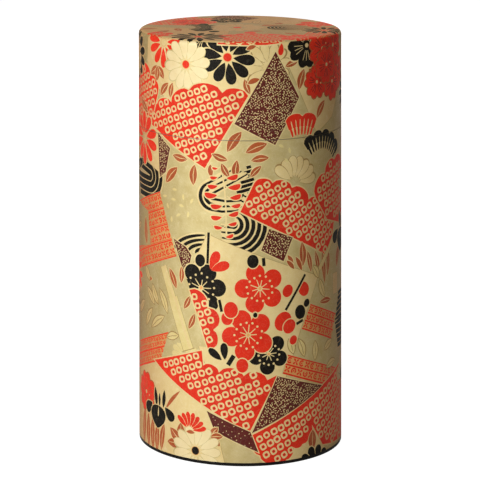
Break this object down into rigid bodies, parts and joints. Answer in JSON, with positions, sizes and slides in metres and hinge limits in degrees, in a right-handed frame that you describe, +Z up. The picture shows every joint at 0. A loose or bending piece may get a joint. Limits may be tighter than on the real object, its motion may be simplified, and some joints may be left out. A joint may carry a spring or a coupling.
{
  "type": "tea caddy",
  "caption": "Cylindrical tea caddy of tinplate covered in patterned washi paper, with a slip-on lid and an inner lid with a knob.",
  "frame": {"origin": "centre of the foot, on the surface the caddy stands on", "axes": "+Z up along the caddy's axis; -Y is the side that faces the viewer"},
  "size_m": [0.08, 0.08, 0.162],
  "materials": {
    "tinplate": "bright tin plate on thin sheet steel, faint drawn grain",
    "black_lacquer": "black semi-gloss lacquer on tinplate",
    "washi": "screen-printed washi paper: ivory and metallic gold ground with red, black and rust inks",
    "knob_metal": "polished pale brass"
  },
  "bodies": {
    "caddy_body": {"body_tube": "tinplate", "inner_sleeve": "tinplate", "bottom_plate": "black_lacquer", "body_paper": "washi"},
    "inner_lid": {"inner_lid_cap": "tinplate", "inner_lid_knob": "knob_metal", "inner_lid_washer": "tinplate", "inner_lid_rivet": "tinplate"},
    "lid": {"lid_tube": "tinplate", "lid_top_plate": "tinplate", "lid_side_paper": "washi", "lid_top_paper": "washi"}
  },
  "joints": [
    {"name": "inner_lid_lift", "type": "slide", "parent": "caddy_body", "child": "inner_lid", "axis": [0, 0, 1], "range_m": [0, 0.03]},
    {"name": "lid_lift", "type": "slide", "parent": "inner_lid", "child": "lid", "axis": [0, 0, 1], "range_m": [0, 0.06]}
  ]
}
